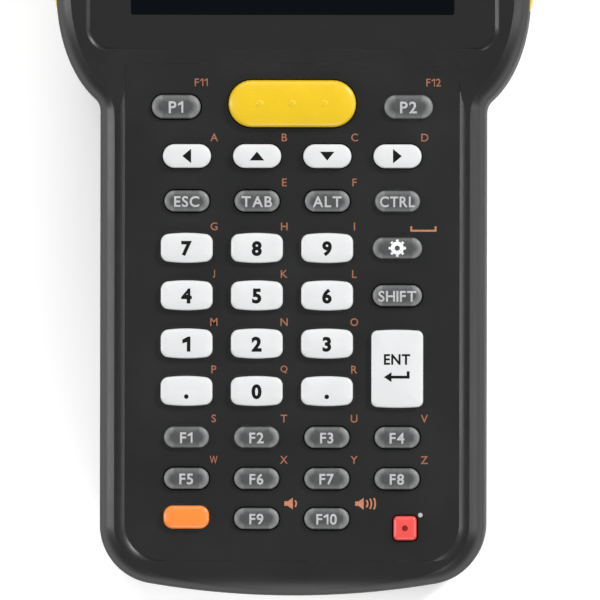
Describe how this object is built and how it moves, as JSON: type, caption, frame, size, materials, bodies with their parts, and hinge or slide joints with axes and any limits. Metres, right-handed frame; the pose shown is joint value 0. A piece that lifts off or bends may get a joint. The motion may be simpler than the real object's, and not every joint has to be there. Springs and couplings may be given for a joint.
{
  "type": "rugged handheld data terminal",
  "caption": "Rugged handheld data terminal: touch display in a wide head over a narrower keypad grip, with side scan keys, end scan window and swing-out rear battery.",
  "frame": {"origin": "under the middle of the outline, on the surface that the back rests on", "axes": "+Z out of the display and keypad face, +Y from the grip's end to the head's end, +X to the right of a user who looks at the face"},
  "size_m": [0.0786, 0.202, 0.0341],
  "materials": {
    "body_plastic": "fine-textured moulded plastic",
    "bezel_plastic": "fine-textured moulded plastic",
    "seal_rubber": "matt rubber",
    "silicone": "matt silicone",
    "circuit_board": "solder-masked board",
    "touch_glass": "black-backed cover glass, opaque from outside",
    "screen": "display module, dark when off",
    "engine_metal": "blasted metal housing",
    "scan_glass": "dark red filter",
    "battery_plastic": "fine-textured moulded plastic",
    "latch_plastic": "satin moulded plastic",
    "yellow_key": "satin moulded plastic",
    "white_key": "satin moulded plastic with printed legends",
    "grey_key": "translucent smoke plastic with printed legends",
    "orange_key": "satin moulded plastic",
    "red_key": "satin moulded plastic",
    "speaker_plastic": "matt plastic",
    "light_pipe": "milky light pipe",
    "dock_plastic": "moulded plastic with gilt contacts",
    "screw_steel": "plain steel"
  },
  "bodies": {
    "body": {"front_housing": "body_plastic", "rear_housing": "body_plastic", "housing_seal": "seal_rubber", "keypad_bezel": "bezel_plastic", "keypad_membrane": "silicone", "keypad_board": "circuit_board", "display_window": "touch_glass", "display_module": "screen", "main_board": "circuit_board", "scan_engine": "engine_metal", "scan_window": "scan_glass", "speaker": "speaker_plastic", "status_light": "light_pipe", "dock_connector": "dock_plastic", "housing_screw_1": "screw_steel", "housing_screw_2": "screw_steel", "housing_screw_3": "screw_steel", "housing_screw_4": "screw_steel"},
    "key_p1": {"key_p1": "grey_key"},
    "key_scan": {"key_scan": "yellow_key"},
    "key_p2": {"key_p2": "grey_key"},
    "key_left": {"key_left": "white_key"},
    "key_up": {"key_up": "white_key"},
    "key_down": {"key_down": "white_key"},
    "key_right": {"key_right": "white_key"},
    "key_esc": {"key_esc": "grey_key"},
    "key_tab": {"key_tab": "grey_key"},
    "key_alt": {"key_alt": "grey_key"},
    "key_ctrl": {"key_ctrl": "grey_key"},
    "key_7": {"key_7": "white_key"},
    "key_8": {"key_8": "white_key"},
    "key_9": {"key_9": "white_key"},
    "key_backlight": {"key_backlight": "grey_key"},
    "key_4": {"key_4": "white_key"},
    "key_5": {"key_5": "white_key"},
    "key_6": {"key_6": "white_key"},
    "key_shift": {"key_shift": "grey_key"},
    "key_1": {"key_1": "white_key"},
    "key_2": {"key_2": "white_key"},
    "key_3": {"key_3": "white_key"},
    "key_enter": {"key_enter": "white_key"},
    "key_comma": {"key_comma": "white_key"},
    "key_0": {"key_0": "white_key"},
    "key_point": {"key_point": "white_key"},
    "key_f1": {"key_f1": "grey_key"},
    "key_f2": {"key_f2": "grey_key"},
    "key_f3": {"key_f3": "grey_key"},
    "key_f4": {"key_f4": "grey_key"},
    "key_f5": {"key_f5": "grey_key"},
    "key_f6": {"key_f6": "grey_key"},
    "key_f7": {"key_f7": "grey_key"},
    "key_f8": {"key_f8": "grey_key"},
    "key_modifier": {"key_modifier": "orange_key"},
    "key_f9": {"key_f9": "grey_key"},
    "key_f10": {"key_f10": "grey_key"},
    "key_power": {"key_power": "red_key"},
    "side_key_left": {"side_key_left": "yellow_key"},
    "side_key_right": {"side_key_right": "yellow_key"},
    "battery_latch": {"battery_latch": "latch_plastic"},
    "battery_pack": {"battery_pack": "battery_plastic"}
  },
  "joints": [
    {"name": "key_p1_press", "type": "slide", "parent": "body", "child": "key_p1", "axis": [0, 0, -1], "range_m": [0, 0.0007], "stiffness_N_per_m": 1500},
    {"name": "key_scan_press", "type": "slide", "parent": "body", "child": "key_scan", "axis": [0, 0, -1], "range_m": [0, 0.0007], "stiffness_N_per_m": 1500},
    {"name": "key_p2_press", "type": "slide", "parent": "body", "child": "key_p2", "axis": [0, 0, -1], "range_m": [0, 0.0007], "stiffness_N_per_m": 1500},
    {"name": "key_left_press", "type": "slide", "parent": "body", "child": "key_left", "axis": [0, 0, -1], "range_m": [0, 0.0007], "stiffness_N_per_m": 1500},
    {"name": "key_up_press", "type": "slide", "parent": "body", "child": "key_up", "axis": [0, 0, -1], "range_m": [0, 0.0007], "stiffness_N_per_m": 1500},
    {"name": "key_down_press", "type": "slide", "parent": "body", "child": "key_down", "axis": [0, 0, -1], "range_m": [0, 0.0007], "stiffness_N_per_m": 1500},
    {"name": "key_right_press", "type": "slide", "parent": "body", "child": "key_right", "axis": [0, 0, -1], "range_m": [0, 0.0007], "stiffness_N_per_m": 1500},
    {"name": "key_esc_press", "type": "slide", "parent": "body", "child": "key_esc", "axis": [0, 0, -1], "range_m": [0, 0.0007], "stiffness_N_per_m": 1500},
    {"name": "key_tab_press", "type": "slide", "parent": "body", "child": "key_tab", "axis": [0, 0, -1], "range_m": [0, 0.0007], "stiffness_N_per_m": 1500},
    {"name": "key_alt_press", "type": "slide", "parent": "body", "child": "key_alt", "axis": [0, 0, -1], "range_m": [0, 0.0007], "stiffness_N_per_m": 1500},
    {"name": "key_ctrl_press", "type": "slide", "parent": "body", "child": "key_ctrl", "axis": [0, 0, -1], "range_m": [0, 0.0007], "stiffness_N_per_m": 1500},
    {"name": "key_7_press", "type": "slide", "parent": "body", "child": "key_7", "axis": [0, 0, -1], "range_m": [0, 0.0007], "stiffness_N_per_m": 1500},
    {"name": "key_8_press", "type": "slide", "parent": "body", "child": "key_8", "axis": [0, 0, -1], "range_m": [0, 0.0007], "stiffness_N_per_m": 1500},
    {"name": "key_9_press", "type": "slide", "parent": "body", "child": "key_9", "axis": [0, 0, -1], "range_m": [0, 0.0007], "stiffness_N_per_m": 1500},
    {"name": "key_backlight_press", "type": "slide", "parent": "body", "child": "key_backlight", "axis": [0, 0, -1], "range_m": [0, 0.0007], "stiffness_N_per_m": 1500},
    {"name": "key_4_press", "type": "slide", "parent": "body", "child": "key_4", "axis": [0, 0, -1], "range_m": [0, 0.0007], "stiffness_N_per_m": 1500},
    {"name": "key_5_press", "type": "slide", "parent": "body", "child": "key_5", "axis": [0, 0, -1], "range_m": [0, 0.0007], "stiffness_N_per_m": 1500},
    {"name": "key_6_press", "type": "slide", "parent": "body", "child": "key_6", "axis": [0, 0, -1], "range_m": [0, 0.0007], "stiffness_N_per_m": 1500},
    {"name": "key_shift_press", "type": "slide", "parent": "body", "child": "key_shift", "axis": [0, 0, -1], "range_m": [0, 0.0007], "stiffness_N_per_m": 1500},
    {"name": "key_1_press", "type": "slide", "parent": "body", "child": "key_1", "axis": [0, 0, -1], "range_m": [0, 0.0007], "stiffness_N_per_m": 1500},
    {"name": "key_2_press", "type": "slide", "parent": "body", "child": "key_2", "axis": [0, 0, -1], "range_m": [0, 0.0007], "stiffness_N_per_m": 1500},
    {"name": "key_3_press", "type": "slide", "parent": "body", "child": "key_3", "axis": [0, 0, -1], "range_m": [0, 0.0007], "stiffness_N_per_m": 1500},
    {"name": "key_enter_press", "type": "slide", "parent": "body", "child": "key_enter", "axis": [0, 0, -1], "range_m": [0, 0.0007], "stiffness_N_per_m": 1500},
    {"name": "key_comma_press", "type": "slide", "parent": "body", "child": "key_comma", "axis": [0, 0, -1], "range_m": [0, 0.0007], "stiffness_N_per_m": 1500},
    {"name": "key_0_press", "type": "slide", "parent": "body", "child": "key_0", "axis": [0, 0, -1], "range_m": [0, 0.0007], "stiffness_N_per_m": 1500},
    {"name": "key_point_press", "type": "slide", "parent": "body", "child": "key_point", "axis": [0, 0, -1], "range_m": [0, 0.0007], "stiffness_N_per_m": 1500},
    {"name": "key_f1_press", "type": "slide", "parent": "body", "child": "key_f1", "axis": [0, 0, -1], "range_m": [0, 0.0007], "stiffness_N_per_m": 1500},
    {"name": "key_f2_press", "type": "slide", "parent": "body", "child": "key_f2", "axis": [0, 0, -1], "range_m": [0, 0.0007], "stiffness_N_per_m": 1500},
    {"name": "key_f3_press", "type": "slide", "parent": "body", "child": "key_f3", "axis": [0, 0, -1], "range_m": [0, 0.0007], "stiffness_N_per_m": 1500},
    {"name": "key_f4_press", "type": "slide", "parent": "body", "child": "key_f4", "axis": [0, 0, -1], "range_m": [0, 0.0007], "stiffness_N_per_m": 1500},
    {"name": "key_f5_press", "type": "slide", "parent": "body", "child": "key_f5", "axis": [0, 0, -1], "range_m": [0, 0.0007], "stiffness_N_per_m": 1500},
    {"name": "key_f6_press", "type": "slide", "parent": "body", "child": "key_f6", "axis": [0, 0, -1], "range_m": [0, 0.0007], "stiffness_N_per_m": 1500},
    {"name": "key_f7_press", "type": "slide", "parent": "body", "child": "key_f7", "axis": [0, 0, -1], "range_m": [0, 0.0007], "stiffness_N_per_m": 1500},
    {"name": "key_f8_press", "type": "slide", "parent": "body", "child": "key_f8", "axis": [0, 0, -1], "range_m": [0, 0.0007], "stiffness_N_per_m": 1500},
    {"name": "key_modifier_press", "type": "slide", "parent": "body", "child": "key_modifier", "axis": [0, 0, -1], "range_m": [0, 0.0007], "stiffness_N_per_m": 1500},
    {"name": "key_f9_press", "type": "slide", "parent": "body", "child": "key_f9", "axis": [0, 0, -1], "range_m": [0, 0.0007], "stiffness_N_per_m": 1500},
    {"name": "key_f10_press", "type": "slide", "parent": "body", "child": "key_f10", "axis": [0, 0, -1], "range_m": [0, 0.0007], "stiffness_N_per_m": 1500},
    {"name": "key_power_press", "type": "slide", "parent": "body", "child": "key_power", "axis": [0, 0, -1], "range_m": [0, 0.0007], "stiffness_N_per_m": 1500},
    {"name": "side_key_left_press", "type": "slide", "parent": "body", "child": "side_key_left", "axis": [1, 0, 0], "range_m": [0, 0.0008], "stiffness_N_per_m": 2000},
    {"name": "side_key_right_press", "type": "slide", "parent": "body", "child": "side_key_right", "axis": [-1, 0, 0], "range_m": [0, 0.0008], "stiffness_N_per_m": 2000},
    {"name": "battery_latch_slide", "type": "slide", "parent": "body", "child": "battery_latch", "axis": [0, 1, 0], "range_m": [0, 0.002], "stiffness_N_per_m": 1200},
    {"name": "battery_pack_swing", "type": "hinge", "parent": "body", "child": "battery_pack", "pos_m": [0, -0.0948, 0.0004], "axis": [-1, 0, 0], "range_deg": [0, 25]}
  ]
}
